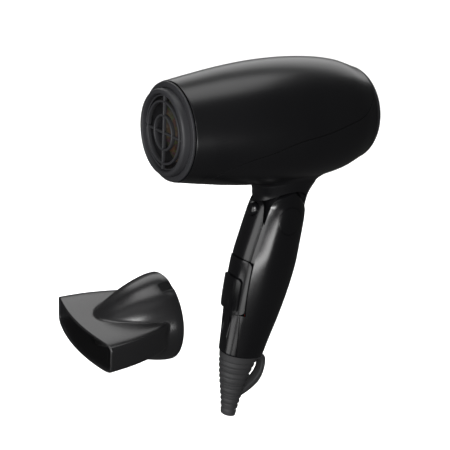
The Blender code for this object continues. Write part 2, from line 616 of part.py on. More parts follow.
LOOP_OUTER = [(7, 89), (14.4, 88.8), (18.2, 91), (19.8, 96), (19.7, 103), (17.4, 108.6), (12.6, 113.4), (7.2, 117),
              (2, 119.5)]
LOOP_INNER = [(2, 115.5), (6.6, 112.2), (11.2, 109), (14.6, 105.4), (16.6, 101), (16.7, 96.6), (15.4, 93.4), (11.4, 92.6),
              (7, 92.8)]
loop = slab("hanging_loop", [(x, -s) for x, s in smooth_line(LOOP_OUTER, 2) + smooth_line(LOOP_INNER, 2)],
            -3.2, 3.2, handle_frame)
join(bush, loop)
cut(bush, rod("cord_bore", (-0.6, 0, -70), (2.9, 0, -134), 2.6, handle_frame, sides=20))

# ---------------------------------------------------------------- concentrator nozzle


def nozzle_form(name, shrink, ahead, finish=None):
    """Round collar that tapers to a ridge, with a flat fishtail spreading from both its sides."""
    # The first ring is moved back, and the last one forwards, where this form cuts the hollow
    cone_stations = [(d, wide - shrink, tall - shrink) for d, wide, tall in CONE_SECTIONS]
    cone_stations[0] = (-ahead, COLLAR_R - shrink, COLLAR_R - shrink)
    cone = loft(name, [[(-d, y, z) for y, z in rounded(wide, tall, 2.0, 36)] for d, wide, tall in cone_stations],
                nozzle_frame, finish)
    tail = loft(name + "_fishtail",
                [[(-d, y, z) for y, z in rounded(wide - shrink, MOUTH_HALF_HEIGHT - shrink, 7.0, 36)]
                 for d, wide in TAIL_SECTIONS], nozzle_frame)
    return join(cone, tail)


nozzle_frame = frame_empty("nozzle_frame", tuple(r + n for r, n in zip(rim_world, NOZZLE_AT)))
nozzle_frame.rotation_euler.x = NOZZLE_ROLL
nozzle = nozzle_form("concentrator", 0, 0, DARK_MATTE)
# The mouth bows forwards in plan
mouth_arc = [(-NOZZLE_LENGTH + MOUTH_ARC_R - MOUTH_ARC_R * cos(radians(a)), MOUTH_ARC_R * sin(radians(a)))
             for a in range(-18, 19, 3)]
mouth_limit = slab("mouth_limit", mouth_arc + [(20, 40), (20, -40)], -20, 20, nozzle_frame)
# the slab stands on its edge, so that its outline lies in plan
mouth_limit.data.transform(Matrix.Rotation(pi / 2, 4, 'X'))
keep(nozzle, mouth_limit)
cut(nozzle, nozzle_form("nozzle_inside", NOZZLE_WALL, 3.0))
# Shallow notch at the collar's rear edge, towards one side of the top
notch = block("collar_notch", (-8.5, -3.4, 24.0), (4, 3.4, 35), nozzle_frame)
notch.rotation_euler = (radians(22), 0, 0)
cut(nozzle, notch)
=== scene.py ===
"""Travel hair dryer: the looks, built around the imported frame.

Pieces are modelled in millimetres in the frame of the part they belong to, and then scaled into
place.  BARREL starts at the centre of the outlet rim with +X towards the rear, HANDLE sits on the
fold axis with -Z down the handle, and NOZZLE is the back of the nozzle's collar.
"""
from math import atan2, cos, pi, radians, sin, sqrt

import bpy
from mathutils import Matrix, Vector


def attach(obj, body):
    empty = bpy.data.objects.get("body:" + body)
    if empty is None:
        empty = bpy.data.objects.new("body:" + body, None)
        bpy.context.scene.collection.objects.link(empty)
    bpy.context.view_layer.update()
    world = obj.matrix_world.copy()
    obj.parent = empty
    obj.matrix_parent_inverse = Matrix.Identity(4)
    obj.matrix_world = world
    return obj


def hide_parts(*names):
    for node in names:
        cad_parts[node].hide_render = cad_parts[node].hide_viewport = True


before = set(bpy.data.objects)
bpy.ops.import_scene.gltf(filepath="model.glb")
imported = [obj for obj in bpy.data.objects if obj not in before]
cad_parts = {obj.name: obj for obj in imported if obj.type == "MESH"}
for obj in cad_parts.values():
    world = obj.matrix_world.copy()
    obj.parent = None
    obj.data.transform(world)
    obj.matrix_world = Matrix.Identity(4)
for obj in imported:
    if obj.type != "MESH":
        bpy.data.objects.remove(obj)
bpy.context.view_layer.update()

LEAN = radians(12.5)
FOLD_UP = 45
FOLD_X, FOLD_Z = 79, -56.5  # the fold axis, seen from the rim's centre
FOLD = Vector((FOLD_UP * sin(LEAN), 0, FOLD_UP * cos(LEAN)))
RIM = FOLD - Vector((FOLD_X, 0, FOLD_Z))
BARREL = Matrix.Scale(0.001, 4) @ Matrix.Translation(RIM)
HANDLE = Matrix.Scale(0.001, 4) @ Matrix.Translation(FOLD) @ Matrix.Rotation(LEAN, 4, 'Y')
NOZZLE = (Matrix.Scale(0.001, 4) @ Matrix.Translation(RIM + Vector((4, 0, -105.5)))
          @ Matrix.Rotation(radians(2), 4, 'X'))

# ---------------------------------------------------------------- shared surface effects
# Moulding grain: fine bumps for the normal, and slow blotches that vary colour and roughness.
grain = bpy.data.node_groups.new("moulding_grain", 'ShaderNodeTree')
grain.interface.new_socket("Scale", in_out='INPUT', socket_type='NodeSocketFloat')
grain.interface.new_socket("Depth", in_out='INPUT', socket_type='NodeSocketFloat')
grain.interface.new_socket("Blotches", in_out='OUTPUT', socket_type='NodeSocketFloat')
grain.interface.new_socket("Normal", in_out='OUTPUT', socket_type='NodeSocketVector')
group_in = grain.nodes.new('NodeGroupInput')
group_out = grain.nodes.new('NodeGroupOutput')
place_on = grain.nodes.new('ShaderNodeTexCoord')
fine = grain.nodes.new('ShaderNodeTexNoise')
fine.inputs["Detail"].default_value = 3
slow = grain.nodes.new('ShaderNodeTexNoise')
slow.inputs["Scale"].default_value = 24
slow.inputs["Detail"].default_value = 1
slow.inputs["Roughness"].default_value = 0.6
bump = grain.nodes.new('ShaderNodeBump')
bump.inputs["Distance"].default_value = 0.0001
grain.links.new(place_on.outputs["Object"], fine.inputs["Vector"])
grain.links.new(place_on.outputs["Object"], slow.inputs["Vector"])
grain.links.new(group_in.outputs["Scale"], fine.inputs["Scale"])
grain.links.new(group_in.outputs["Depth"], bump.inputs["Strength"])
grain.links.new(fine.outputs["Fac"], bump.inputs["Height"])
grain.links.new(slow.outputs["Fac"], group_out.inputs["Blotches"])
grain.links.new(bump.outputs["Normal"], group_out.inputs["Normal"])


def plastic(name, dark, light, smoothest, roughest, scale, depth, metallic=0.0, gloss=0.4):
    """Material whose colour and roughness wander between two values with the grain's blotches."""
    made = bpy.data.materials.new(name)
    made.use_nodes = True
    nodes, links = made.node_tree.nodes, made.node_tree.links
    shader = nodes["Principled BSDF"]
    shader.inputs["Metallic"].default_value = metallic
    shader.inputs["Specular IOR Level"].default_value = 0.5 if metallic else gloss
    surface = nodes.new('ShaderNodeGroup')
    surface.node_tree = grain
    surface.inputs["Scale"].default_value = scale
    surface.inputs["Depth"].default_value = depth
    tint = nodes.new('ShaderNodeMix')
    tint.data_type = 'RGBA'
    tint.inputs["A"].default_value = (*dark, 1)
    tint.inputs["B"].default_value = (*light, 1)
    polish = nodes.new('ShaderNodeMapRange')
    polish.inputs["From Min"].default_value = 0.15
    polish.inputs["From Max"].default_value = 0.85
    polish.inputs["To Min"].default_value = smoothest
    polish.inputs["To Max"].default_value = roughest
    links.new(surface.outputs["Blotches"], tint.inputs["Factor"])
    links.new(surface.outputs["Blotches"], polish.inputs["Value"])
    links.new(tint.outputs["Result"], shader.inputs["Base Color"])
    links.new(polish.outputs["Result"], shader.inputs["Roughness"])
    links.new(surface.outputs["Normal"], shader.inputs["Normal"])
    return made


satin_black = plastic("satin_black", (0.003, 0.003, 0.0035), (0.005, 0.005, 0.0055),
                      0.27, 0.31, 2600, 0.06, gloss=0.35)
gloss_black = plastic("gloss_black", (0.0025, 0.0025, 0.003), (0.004, 0.004, 0.0045),
                      0.19, 0.23, 900, 0.02, gloss=0.5)
matte_dark = plastic("matte_dark", (0.016, 0.016, 0.018), (0.024, 0.024, 0.026),
                     0.40, 0.50, 3000, 0.35, gloss=0.25)
nozzle_dark = plastic("nozzle_dark", (0.007, 0.007, 0.0075), (0.011, 0.011, 0.0115),
                      0.22, 0.28, 2600, 0.06, gloss=0.5)
rubber = plastic("rubber", (0.018, 0.018, 0.019), (0.028, 0.028, 0.029), 0.55, 0.70, 2200, 0.45, gloss=0.3)
steel = plastic("steel", (0.50, 0.50, 0.52), (0.62, 0.62, 0.64), 0.22, 0.36, 1800, 0.10, metallic=1.0)
heated_wire = plastic("heated_wire", (0.22, 0.17, 0.14), (0.42, 0.38, 0.36),
                      0.32, 0.50, 1500, 0.30, metallic=1.0)
brass = plastic("brass", (0.60, 0.43, 0.18), (0.76, 0.58, 0.30), 0.24, 0.36, 1500, 0.10, metallic=1.0)
insulation = plastic("insulation", (0.42, 0.04, 0.03), (0.58, 0.07, 0.05), 0.35, 0.50, 1800, 0.10)
board_green = plastic("board_green", (0.02, 0.11, 0.045), (0.04, 0.19, 0.08), 0.30, 0.42, 1200, 0.20)

# Mica is a warm sheet with darker flakes, drawn by a cell texture.
mica = plastic("mica", (0.08, 0.062, 0.042), (0.15, 0.12, 0.085), 0.30, 0.48, 900, 0.25)
mica_nodes, mica_links = mica.node_tree.nodes, mica.node_tree.links
flakes = mica_nodes.new('ShaderNodeTexVoronoi')
flakes.inputs["Scale"].default_value = 420
flake_place = mica_nodes.new('ShaderNodeTexCoord')
flake_tint = mica_nodes.new('ShaderNodeMix')
flake_tint.data_type = 'RGBA'
flake_tint.blend_type = 'MULTIPLY'
flake_tint.inputs["Factor"].default_value = 0.45
mica_links.new(flake_place.outputs["Object"], flakes.inputs["Vector"])
mica_links.new(mica_nodes["Mix"].outputs["Result"], flake_tint.inputs["A"])
mica_links.new(flakes.outputs["Color"], flake_tint.inputs["B"])
mica_links.new(flake_tint.outputs["Result"], mica_nodes["Principled BSDF"].inputs["Base Color"])

# ---------------------------------------------------------------- upper barrel shell
# Satin black moulding, 2 mm thick, that ends below along the seam and draws in towards both ends.
# A grid is bent over the barrel between the seam's two sides, thickened and given rounded edges.


def select_only(thing):
    bpy.ops.object.select_all(action='DESELECT')
    thing.select_set(True)
    bpy.context.view_layer.objects.active = thing


def clean(thing):
    """Merge what coincides, and turn the normals outwards."""
    select_only(thing)
    bpy.ops.object.mode_set(mode='EDIT')
    bpy.ops.mesh.select_all(action='SELECT')
    bpy.ops.mesh.remove_doubles(threshold=0.002)
    bpy.ops.mesh.normals_make_consistent(inside=False)
    bpy.ops.object.mode_set(mode='OBJECT')
    return thing


def skin(name, around, along, where):
    """Grid whose points are moved by where(u, v), with u and v from 0 to 1."""
    bpy.ops.object.select_all(action='DESELECT')
    bpy.ops.mesh.primitive_grid_add(x_subdivisions=around, y_subdivisions=along, size=1)
    thing = bpy.context.object
    thing.name = thing.data.name = name
    for vert in thing.data.vertices:
        vert.co = where(vert.co.x + 0.5, vert.co.y + 0.5)
    return clean(thing)


def modify(thing, kind, **settings):
    """Add a modifier and apply it."""
    select_only(thing)
    step = thing.modifiers.new(kind, kind)
    for key, value in settings.items():
        setattr(step, key, value)
    bpy.ops.object.modifier_apply(modifier=step.name)
    return thing


def round_edges(thing, width, angle=50, segments=2):
    return modify(thing, 'BEVEL', width=width, segments=segments, limit_method='ANGLE',
                  angle_limit=radians(angle))


def merge(thing, *others):
    """One object from several, without cutting them."""
    bpy.ops.object.select_all(action='DESELECT')
    for other in others:
        other.select_set(True)
    thing.select_set(True)
    bpy.context.view_layer.objects.active = thing
    bpy.ops.object.join()
    return thing


def boolean(thing, operation, *tools):
    for tool in tools:
        modify(thing, 'BOOLEAN', operation=operation, solver='EXACT', object=tool)
        bpy.data.objects.remove(tool)
    return thing


def finish(thing, into, body, look, slot_name, *nodes, angle=32):
    """Put a piece in place, shade it, give it its material and tie it to the frame."""
    thing.data.transform(into)
    select_only(thing)
    bpy.ops.object.shade_smooth_by_angle(angle=radians(angle))
    thing.data.materials.clear()
    thing.data.materials.append(look)
    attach(thing, body)
    if nodes:
        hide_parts(*nodes)
    return thing


def through(points, t):
    """Value at t on a smooth curve through (t, value, ...) points."""
    t = min(max(t, points[0][0]), points[-1][0])
    for i in range(len(points) - 1):
        if t <= points[i + 1][0]:
            break
    before, left = points[max(i - 1, 0)], points[i]
    right, after = points[i + 1], points[min(i + 2, len(points) - 1)]
    span = right[0] - left[0]
    w = (t - left[0]) / span
    found = []
    for k in range(1, len(left)):
        rise_left = (right[k] - before[k]) / (right[0] - before[0]) * span
        rise_right = (after[k] - left[k]) / (after[0] - left[0]) * span
        found.append((2 * w ** 3 - 3 * w ** 2 + 1) * left[k] + (w ** 3 - 2 * w ** 2 + w) * rise_left
                     + (3 * w ** 2 - 2 * w ** 3) * right[k] + (w ** 3 - w ** 2) * rise_right)
    return found[0] if len(found) == 1 else found


SHELL_FRONT, SHELL_LENGTH = 5.8, 120.2
SHELL_WALL = 2.0
SHELL_EDGE = 0.35


def barrel_radius(x):
    return through([(5.8, 26.8), (20, 29.3), (38, 32.2), (58, 34.4), (78, 35.2), (98, 34.4), (113, 32.2),
                    (126, 28.0)], x)


def seam_height(x):
    return through([(0, -48), (16, -29), (24, -19), (34, -13), (50, -8.4), (66, -3.4), (84, -0.6), (100, 3.0),
                    (112, 6.2), (120, 11.5), (132, 22.0)], x)


def seam_angle(x, shift):
    """Angle above the horizontal at which the seam crosses the shell, moved in height by shift."""
    height = (seam_height(x) + shift) / barrel_radius(x)
    return radians(-90) if height <= -1 else atan2(height, sqrt(1 - height ** 2))


def upper_skin(u, v):
    x = SHELL_FRONT + SHELL_LENGTH * v
    low = seam_angle(x, 0.12)
    angle = low + (pi - 2 * low) * u
    return Vector((x, barrel_radius(x) * cos(angle), barrel_radius(x) * sin(angle)))


upper_shell = skin("upper_shell_looks", 180, 150, upper_skin)
modify(upper_shell, 'SOLIDIFY', thickness=SHELL_WALL, offset=-1)
round_edges(upper_shell, SHELL_EDGE, angle=55)
finish(upper_shell, BARREL, "barrel", satin_black, "barrel_black", "upper_shell")

# ---------------------------------------------------------------- lower barrel shell with neck
# Same satin black moulding under the seam.  Its neck flows out of the belly through a fillet and
# ends over the handle's cheeks; the tongue between them turns on the pivot.


LOWER_FRONT, LOWER_LENGTH = 15.6, 110.4
SQUARISH = 2.25
SWING = 17.8  # the cheeks' tops turn inside this radius
SHOULDER = 12.5


def lower_skin(u, v):
    x = LOWER_FRONT + LOWER_LENGTH * v
    side = seam_angle(x, -0.18)
    angle = pi - side + (pi + 2 * side) * u
    return Vector((x, barrel_radius(x) * cos(angle), barrel_radius(x) * sin(angle)))


def rounded(angle, half_x, half_y, power):
    """Point of a rounded section at an angle."""
    c, s = cos(angle), sin(angle)
    return (half_x * abs(c) ** (2 / power) * (1 if c > 0 else -1),
            half_y * abs(s) ** (2 / power) * (1 if s > 0 else -1))


# height, centre, half depth and half width
neck_sections = [(-46, 80.4, 15.9, 15.2), (-42.5, 81.2, 16.2, 15.3), (-38, 82.0, 18.3, 16.0),
                 (-33, 83.2, 21.4, 17.2)]


def neck_skin(u, v):
    """Down the neck: the first half is a fillet that leaves the belly, the rest runs to the handle."""
    angle = 2 * pi * u
    reach = 5.0 + 5.0 * max(cos(angle), 0) + 1.5 * max(-cos(angle), 0)
    centre, depth, width = through(neck_sections, -33)
    x, y = rounded(angle, depth, width, SQUARISH)
    start = -sqrt(max(barrel_radius(centre + x) ** 2 - y ** 2, 1)) - 0.42 * reach
    if v < 0.5:
        turn = v * pi
        grow = reach * (1 - sin(turn))
        centre, depth, width = through(neck_sections, start)
        x, y = rounded(angle, depth + grow, width + grow * 0.6, SQUARISH)
        belly = 0.25 * (1 - v * 2) - sqrt(max(barrel_radius(centre + x) ** 2 - y ** 2, 1))
        return Vector((centre + x, y, belly + (start - belly) * (1 - cos(turn))))
    low = neck_end(81.0 + rounded(angle, 16.2, 15.3, SQUARISH)[0])
    along = start + (min(low, start - 0.1) - start) * (v * 2 - 1)
    centre, depth, width = through(neck_sections, along)
    x, y = rounded(angle, depth, width, SQUARISH)
    return Vector((centre + x, y, along))


def neck_end(x):
    """Height of the neck's lower edge, which clears the cheeks and the shoulders as they swing."""
    across = x - FOLD_X
    if across < SHOULDER:
        return FOLD_Z + sqrt(max(SWING ** 2 - across ** 2, 0))
    return -43.9 - 0.3 * (across - SHOULDER)


def plate(name, outline, low, high):
    """Flat outline of (x, z) raised from y = low to high."""
    bpy.ops.object.select_all(action='DESELECT')
    bpy.ops.mesh.primitive_circle_add(vertices=len(outline), fill_type='NGON')
    thing = bpy.context.object
    thing.name = thing.data.name = name
    for vert, (x, z) in zip(thing.data.vertices, outline):
        vert.co = (x, low, z)
    bpy.ops.object.mode_set(mode='EDIT')
    bpy.ops.mesh.select_all(action='SELECT')
    bpy.ops.mesh.extrude_region_move(TRANSFORM_OT_translate={"value": (0, high - low, 0)})
    bpy.ops.object.mode_set(mode='OBJECT')
    return clean(thing)


lower_shell = skin("lower_shell_looks", 180, 150, lower_skin)
modify(lower_shell, 'SOLIDIFY', thickness=SHELL_WALL, offset=-1)
round_edges(lower_shell, SHELL_EDGE, angle=55)
neck = skin("neck", 120, 48, neck_skin)
modify(neck, 'SOLIDIFY', thickness=1.6, offset=-1)
TONGUE_END = 11.6
tongue_side = [(TONGUE_END * cos(radians(a)) + FOLD_X, TONGUE_END * sin(radians(a)) + FOLD_Z)
               for a in range(165, 276, 5)]
tongue_side += [(96, -60.5), (99, -52), (99, -34), (73.4, -34)]


def column_skin(u, v):
    """Rounded column that the tongue's back is cut to."""
    z = -82 + 50 * min(max((round(v * 42) - 1) / 40, 0), 1)
    centre, depth, width = through([(-82, 74, 15.8, 15), (-56.5, 78.6, 15.8, 15), (-47, 80.2, 15.9, 15.2),
                                    (-42.5, 81.2, 16.2, 15.4), (-38, 82.0, 18.2, 16.0),
                                    (-32, 83.4, 22.2, 18)], z)
    x, y = rounded(2 * pi * u, depth, width, SQUARISH) if 0 < v < 1 else (0, 0)
    return Vector((centre + x, y, z))


tongue = plate("tongue", tongue_side, -9.8, 9.0)
boolean(tongue, 'INTERSECT', skin("column", 96, 42, column_skin))
round_edges(tongue, 0.5)
merge(lower_shell, neck, tongue)
finish(lower_shell, BARREL, "barrel", satin_black, "barrel_black", "lower_shell")

# ---------------------------------------------------------------- outlet tube and front ring
# Matte heat-resistant tube that the nozzle pushes onto, with a stepped ring against the shell.
# Both are profiles turned about the barrel's axis, with rounded edges.


def turned(name, profile):
    """Closed profile of (x, radius) turned about the X axis."""
    if profile[0][1] > 0:
        profile = profile + [profile[0]]

    def where(u, v):
        x, radius = profile[round(v * (len(profile) - 1))]
        return Vector((x, radius * cos(2 * pi * u), radius * sin(2 * pi * u)))
    return skin(name, 144, len(profile) - 1, where)


seat = turned("nozzle_seat_looks", [(0, 21.6), (0.25, 22.4), (0.8, 22.85), (1.5, 23), (14, 23), (14, 20.2),
                                    (1.2, 20.2), (0.4, 20.4), (0, 20.9)])
finish(round_edges(seat, 0.2), BARREL, "barrel", matte_dark, "heat_dark", "nozzle_seat")

ring = turned("front_ring_looks", [(4.2, 26.3), (5.5, 26.3), (5.5, 24.3), (13, 24.3), (13, 23.1),
                                   (4.2, 23.1)])
finish(round_edges(ring, 0.3, segments=3), BARREL, "barrel", matte_dark, "heat_dark", "front_ring")

# ---------------------------------------------------------------- outlet grille
# Matte moulding of three rings, the outer one thin, on an upright and a level bar, all with
# rounded edges.
BAR_HALF = 0.62
grille = turned("outlet_grille_looks", [(2.2, 19.95), (3.4, 19.95), (3.4, 19.0), (2.2, 19.0)])
for middle in (16.4, 9.1):
    outer, inner = middle + BAR_HALF, middle - BAR_HALF
    merge(grille, turned("hoop", [(1.1, outer), (3.4, outer), (3.4, inner), (1.1, inner)]))


def bar(name, low, high, width):
    """Block between two corners with rounded edges."""
    bpy.ops.object.select_all(action='DESELECT')
    bpy.ops.mesh.primitive_cube_add(size=1)
    thing = bpy.context.object
    thing.name = thing.data.name = name
    for vert in thing.data.vertices:
        vert.co = [a + (b - a) * (c + 0.5) for a, b, c in zip(low, high, vert.co)]
    return round_edges(thing, width, segments=3)


round_edges(grille, 0.35, segments=3)
merge(grille, bar("upright_bar", (1.25, -BAR_HALF, -19.8), (3.2, BAR_HALF, 19.8), 0.35),
      bar("level_bar", (1.4, -19.8, -BAR_HALF), (3.1, 19.8, BAR_HALF), 0.35))
finish(grille, BARREL, "barrel", matte_dark, "heat_dark", "outlet_grille")

# ---------------------------------------------------------------- heater
# Mica tube, turned thin, and the resistance wire wound five times around the mica cross.
tube = turned("heat_tube_looks", [(14.5, 22.4), (71, 22.4), (71, 21.8), (14.5, 21.8)])
finish(tube, BARREL, "barrel", mica, "mica", "heat_tube")


def wire_skin(radius, path):
    """Round wire along path(t)."""
    def where(u, v):
        here, step = path(v), (path(min(v + 0.002, 1)) - path(max(v - 0.002, 0))).normalized()
        side = step.cross(Vector((0, 0, 1)) if abs(step.z) < 0.9 else Vector((1, 0, 0))).normalized()
        lift = side.cross(step)
        return here + (side * cos(2 * pi * u) + lift * sin(2 * pi * u)) * radius
    return where


def coil_path(t):
    """Wavy wire: the winding runs around the axis, and small waves run along it."""
    angle = 10 * pi * t
    out = 17.4 + 0.45 * sin(angle * 16)
    return Vector((25 + 38 * t + 0.5 * cos(angle * 16), out * cos(angle), out * sin(angle)))


coil = skin("heater_coil_looks", 8, 1400, wire_skin(0.3, coil_path))
finish(coil, BARREL, "barrel", heated_wire, "resistance_wire", "heater_coil", angle=80)

# ---------------------------------------------------------------- rear grille
# Matte dome that closes the rear, with twelve rounded intake slots around a plain centre.
DOME_FRONT = 126.3
INTAKE_SLOTS = 12
dome = [(DOME_FRONT + 8.7 * sin(radians(a)), 27.8 * cos(radians(a)) ** 0.8) for a in range(0, 90, 5)]
dome += [(135.0, 0.0), (133.4, 0.0)]
dome += [(DOME_FRONT + 7.1 * sin(radians(a)), 26.3 * cos(radians(a)) ** 0.8) for a in range(85, -1, -5)]
rear = turned("rear_grille_looks", dome)
for index in range(INTAKE_SLOTS):
    slot = bar("intake_slot", (120, -1.1, 7.5), (145, 1.1, 20.5), 1.0)
    slot.data.transform(Matrix.Rotation(2 * pi * (index + 0.5) / INTAKE_SLOTS, 4, 'X'))
    boolean(rear, 'DIFFERENCE', slot)
finish(rear, BARREL, "barrel", matte_dark, "heat_dark", "rear_grille")

# ---------------------------------------------------------------- handle shell
# Gloss black moulding with a squarish oval section.  The top is split into two cheeks, the front
# has windows for the covers and the switch panel, and two screws sit in recesses in its back.
CHEEK = 17.5
HANDLE_WALL = 2.2


def handle_half(s):
    """Half depth and half width at a distance below the fold axis."""
    if s < -6:
        return sqrt(max(CHEEK ** 2 - s ** 2, 0.01)), 15.4 * sqrt(1 - 0.42 * (s / CHEEK) ** 2)
    return through([(-6, 16.44, 14.99), (0, 17.4, 15.4), (13, 18.7, 15.8), (28, 19.9, 16.0), (45, 19.2, 15.4),
                    (62, 17.5, 14.0), (75, 15.7, 12.5), (88, 14.1, 11.2)], s)


def handle_form(name, offset, first, last, step=1.0):
    """The handle's outer form, grown by offset, between two distances below the fold axis."""
    count = max(2, round((last - first) / step))

    def where(u, v):
        row = round(v * (count + 2)) - 1
        done = min(max(row, 0), count)
        s = first + (last - first) * done / count
        if first < -15:  # rows closer together on the rounded top
            s = first + (last - first) * (done / count) ** 1.35
        half_x, half_y = handle_half(s)
        if row < 0 or row > count:
            return Vector((0, 0, -s))
        x, y = rounded(2 * pi * u, max(half_x + offset, 0.4), half_y + offset, SQUARISH)
        return Vector((x, y, -s))
    return skin(name, 120, count + 2, where)


def rod(name, start, end, radius, sides=64):
    """Round tool between two points."""
    start, end = Vector(start), Vector(end)
    bpy.ops.object.select_all(action='DESELECT')
    bpy.ops.mesh.primitive_cylinder_add(vertices=sides, radius=radius, depth=(end - start).length)
    thing = bpy.context.object
    thing.name = thing.data.name = name
    turn = Vector((0, 0, 1)).rotation_difference(end - start).to_matrix().to_4x4()
    thing.data.transform(Matrix.Translation((start + end) / 2) @ turn)
    return thing


def window(name, top, end, half, corner=0.0):
    """Block over the handle's front between two distances below the fold axis."""
    if not corner:
        return bar(name, (-40, -half, -end), (-7.5, half, -top), 0.01)
    spots = [(half - corner, -top - corner, 0), (-half + corner, -top - corner, 90),
             (-half + corner, -end + corner, 180), (half - corner, -end + corner, 270)]
    outline = [(y + corner * cos(radians(a + b)), z + corner * sin(radians(a + b)))
               for y, z, a in spots for b in range(0, 91, 15)]
    thing = plate(name, outline, 7.5, 40)
    thing.data.transform(Matrix.Rotation(pi / 2, 4, 'Z'))
    return thing


FORK_FRONT, FORK_BACK = 15.3, 20.4
fork = [(FORK_FRONT * cos(radians(a)), FORK_FRONT * sin(radians(a))) for a in range(146, 262, 4)]
fork += [(FORK_BACK * cos(radians(a)), FORK_BACK * sin(radians(a))) for a in range(264, 313, 4)]
fork += [(40 * cos(radians(-33.5)), 40 * sin(radians(-33.5))), (40, 40), (-24, 40)]
handle_shell = handle_form("handle_shell_looks", 0, -17.2, 88)
boolean(handle_shell, 'DIFFERENCE',
        window("upper_window", -17, 28, 9.55), window("panel_window", 27.8, 61.2, 11.05),
        window("lower_window", 60, 96, 9.05), handle_form("handle_inside", -HANDLE_WALL, 15, 92, step=3.0),
        plate("fork_slot", fork, -10.2, 10.2), rod("cap_left", (0, -20, 0), (0, -12.6, 0), 8.25),
        rod("cap_right", (0, 20, 0), (0, 12.6, 0), 8.25), rod("cheek_bore", (0, -20, 0), (0, 20, 0), 4.3),
        rod("recess_upper", (25, 0, -34), (18.5, 0, -34), 3.0),
        rod("recess_lower", (25, 0, -70), (15.0, 0, -70), 3.0))
round_edges(handle_shell, 0.3, angle=60)
finish(handle_shell, HANDLE, "handle", gloss_black, "handle_black", "handle_shell", angle=40)

# ---------------------------------------------------------------- hinge caps
# Round gloss caps over the pivot's ends, flush with the cheeks and set off by a thin gap.
for side, sign in (("left", -1), ("right", 1)):
    cap = handle_form("hinge_cap_looks_" + side, 0, -12, 14)
    boolean(cap, 'INTERSECT', rod("cap_round", (0, 24 * sign, 0), (0, 12.9 * sign, 0), 7.95, sides=96))
    finish(round_edges(cap, 0.3, angle=60), HANDLE, "handle", gloss_black, "handle_black",
           "hinge_cap_" + side, angle=40)

# ---------------------------------------------------------------- front covers
# Gloss strips above and below the switch panel, curved like the handle's front.  The upper one
# has the cool-shot button's hole, the lower one two long grooves.
upper_cover = handle_form("upper_front_cover_looks", 0, -17.2, 34)
boolean(upper_cover, 'INTERSECT', window("upper_block", -15.0, 27.4, 9.3))
boolean(upper_cover, 'DIFFERENCE', handle_form("hollow", -HANDLE_WALL, -15.3, 60),
        rod("button_hole", (-30, 0, 2), (-10, 0, 2), 4.45),
        bar("front_trim", (-FORK_FRONT, -20, -15), (0, 20, 20), 0.01))
finish(round_edges(upper_cover, 0.45, angle=60, segments=3), HANDLE, "handle", gloss_black, "handle_black",
       "upper_front_cover", angle=40)

lower_cover = handle_form("lower_front_cover_looks", 0, 50, 88)
boolean(lower_cover, 'INTERSECT', window("lower_block", 61.4, 92, 8.75))
boolean(lower_cover, 'DIFFERENCE', handle_form("hollow", -HANDLE_WALL, 20, 96))
for y in (-3.0, 3.0):
    boolean(lower_cover, 'DIFFERENCE', bar("groove", (-40, y - 0.8, -85), (-15.0, y + 0.8, -64), 0.5))
finish(round_edges(lower_cover, 0.35, angle=60), HANDLE, "handle", gloss_black, "handle_black",
       "lower_front_cover", angle=40)

# ---------------------------------------------------------------- switch panel
# Raised gloss panel with round corners and a soft bevel, and the slot that the knob's stem runs in.
panel = handle_form("switch_panel_looks", 0.4, 20, 70)
boolean(panel, 'INTERSECT', window("panel_block", 28, 61, 10.8, corner=3.2))
boolean(panel, 'DIFFERENCE', handle_form("hollow", -HANDLE_WALL, 10, 80),
        bar("stem_slot", (-40, -2.4, -57), (0, 2.4, -40), 0.8))
finish(round_edges(panel, 0.7, angle=60, segments=4), HANDLE, "handle", gloss_black, "handle_black",
       "switch_panel", angle=40)

# ---------------------------------------------------------------- speed knob
# Gloss slider that follows the panel's curve over a thin gap.  It is a slice of the handle's form
# with round corners, and its stem goes through the panel's slot.
knob = handle_form("speed_knob_looks", 1.85, 30, 70)
boolean(knob, 'INTERSECT', window("knob_block", 39.5, 60, 8.3, corner=2.2))
boolean(knob, 'DIFFERENCE', handle_form("knob_underside", 0.95, 28, 72))
round_edges(knob, 0.45, angle=60, segments=3)
merge(knob, bar("knob_stem", (-20.2, -1.9, -56), (-13.9, 1.9, -49), 0.3))
finish(knob, HANDLE, "knob", gloss_black, "handle_black", "speed_knob", angle=40)

# ---------------------------------------------------------------- cool-shot button
# Domed gloss button turned about its own axis, with its stem behind it.
button = turned("cool_button_looks", [(-19.9, 0.0), (-19.85, 1.0), (-19.7, 1.9), (-19.4, 2.7), (-18.95, 3.4),
                                      (-18.3, 3.9), (-17.6, 4.1), (-16.0, 4.1), (-16.0, 1.2), (-14.9, 1.2),
                                      (-14.9, 0.0)])
button.data.transform(Matrix.Translation((0, 0, 2)))
finish(button, HANDLE, "button", gloss_black, "handle_black", "cool_button")

# ---------------------------------------------------------------- cord bush with hanging loop
# One matte rubber moulding: a tapering sleeve with ten grooves that lets the cord bend, a flat loop
# up its back for hanging, and the cord's bore down the middle.
FIRST_GROOVE, LAST_GROOVE = 91.5, 127.5
GROOVE_PITCH, GROOVE_DEPTH, GROOVE_HALF = 3.6, 0.8, 0.28


